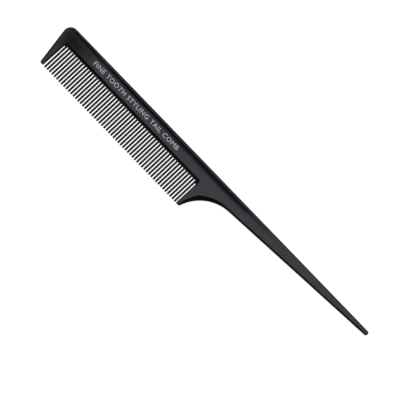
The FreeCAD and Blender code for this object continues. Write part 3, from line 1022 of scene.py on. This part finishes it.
def square_card(name, half_side, material):
    """A level square about the origin."""
    mesh = bpy.data.meshes.new(name)
    corners = [(x * half_side, y * half_side, 0) for x, y in ((-1, -1), (1, -1), (1, 1), (-1, 1))]
    mesh.from_pydata(corners, [], [(0, 1, 2, 3)])
    mesh.materials.append(material)
    return add_object(name, mesh)


def pale_floor():
    """A large pale table that glows a little, like white card on a light table."""
    material, _, shader = new_material("pale_card")
    shader.inputs["Base Color"].default_value = FLOOR_COLOUR
    shader.inputs["Roughness"].default_value = 1.0
    shader.inputs["Specular IOR Level"].default_value = 0.0
    shader.inputs["Emission Color"].default_value = FLOOR_GLOW
    shader.inputs["Emission Strength"].default_value = FLOOR_GLOW_STRENGTH
    floor = square_card("floor", FLOOR_HALF, material)
    floor.location.z = float(cad_low[2])
    floor.visible_glossy = False


def overhead_light(tree, direction):
    """A round soft light above the comb, leaning towards its back edge, in a dim room."""
    facing = tree.nodes.new("ShaderNodeVectorMath")
    facing.operation = "DOT_PRODUCT"
    facing.inputs[1].default_value = (
        LIGHT_HEADING * math.sin(LIGHT_LEAN) + Vector((0, 0, math.cos(LIGHT_LEAN)))
    )
    tree.links.new(direction, facing.inputs[0])
    ramp = tree.nodes.new("ShaderNodeValToRGB")
    ramp.color_ramp.interpolation = "EASE"
    for stop, place, colour in zip(ramp.color_ramp.elements, LIGHT_EDGES, (ROOM_COLOUR, LIGHT_COLOUR)):
        stop.position = place
        stop.color = colour
    tree.links.new(facing.outputs["Value"], ramp.inputs["Fac"])
    return ramp.outputs["Color"]


def low_light(tree, direction):
    """A weak light low on the near side."""
    parts = tree.nodes.new("ShaderNodeSeparateXYZ")
    tree.links.new(direction, parts.inputs[0])
    horizon = map_range(tree, parts.outputs["Z"], *LOW_LIGHT_EDGES, high=LOW_LIGHT)
    near_side = map_range(tree, parts.outputs["Y"], LOW_LIGHT_SIDE, -LOW_LIGHT_SIDE)
    both = tree.nodes.new("ShaderNodeMath")
    both.operation = "MULTIPLY"
    tree.links.new(horizon.outputs["Result"], both.inputs[0])
    tree.links.new(near_side.outputs["Result"], both.inputs[1])
    return both.outputs["Value"]


def studio_light():
    """The two soft lights, in a world that the camera itself sees as plain pale grey."""
    world = bpy.data.worlds.new("studio")
    bpy.context.scene.world = world
    world.use_nodes = True
    tree = world.node_tree
    direction = tree.nodes.new("ShaderNodeTexCoord").outputs["Generated"]
    glow = tree.nodes.new("ShaderNodeMix")
    glow.data_type = "RGBA"
    glow.blend_type = "ADD"
    glow.inputs["Factor"].default_value = 1.0
    tree.links.new(overhead_light(tree, direction), glow.inputs["A"])
    tree.links.new(low_light(tree, direction), glow.inputs["B"])
    seen = tree.nodes.new("ShaderNodeMix")
    seen.data_type = "RGBA"
    seen.inputs["B"].default_value = SEEN_BACKGROUND
    path = tree.nodes.new("ShaderNodeLightPath")
    tree.links.new(path.outputs["Is Camera Ray"], seen.inputs["Factor"])
    tree.links.new(glow.outputs["Result"], seen.inputs["A"])
    tree.links.new(seen.outputs["Result"], tree.nodes["Background"].inputs["Color"])


def flag_cloth():
    """Black cloth that fades to nothing towards the card's edge."""
    material, tree, shader = new_material("flag_cloth")
    tree.nodes.remove(shader)
    away = tree.nodes.new("ShaderNodeVectorMath")
    away.operation = "LENGTH"
    tree.links.new(tree.nodes.new("ShaderNodeTexCoord").outputs["Object"], away.inputs[0])
    weight = map_range(tree, away.outputs["Value"], FLAG_HALF, 0.0)
    weight.interpolation_type = "SMOOTHSTEP"
    blend = tree.nodes.new("ShaderNodeMixShader")
    tree.links.new(weight.outputs["Result"], blend.inputs[0])
    tree.links.new(tree.nodes.new("ShaderNodeBsdfTransparent").outputs[0], blend.inputs[1])
    cloth = tree.nodes.new("ShaderNodeBsdfDiffuse")
    cloth.inputs["Color"].default_value = (0.0, 0.0, 0.0, 1)
    tree.links.new(cloth.outputs[0], blend.inputs[2])
    tree.links.new(blend.outputs[0], tree.nodes["Material Output"].inputs["Surface"])
    return material


def front_flag():
    """A small soft-edged black card above the front corner, which dims the light mirrored there."""
    flag = square_card("flag", FLAG_HALF, flag_cloth())
    outward = 1 + FLAG_HEIGHT / ROUGH_CAMERA_HEIGHT
    flag.location = FLAG_PLACE * outward + Vector((0, 0, FLAG_HEIGHT))
    flag.visible_camera = False
    flag.visible_diffuse = False


def top_camera():
    """Straight above the comb, which lies slantwise across the picture."""
    data = bpy.data.cameras.new("camera")
    data.lens = LENS
    data.sensor_width = SENSOR_WIDTH
    camera = add_object("camera", data)
    height = Z_MID + VIEW_WIDTH * LENS / SENSOR_WIDTH
    camera.location = Vector((*VIEW_CENTRE, height)) * MM
    camera.rotation_euler = (0, 0, VIEW_TURN)
    bpy.context.scene.camera = camera


pale_floor()
studio_light()
front_flag()
top_camera()
bpy.context.scene.view_settings.view_transform = "Standard"
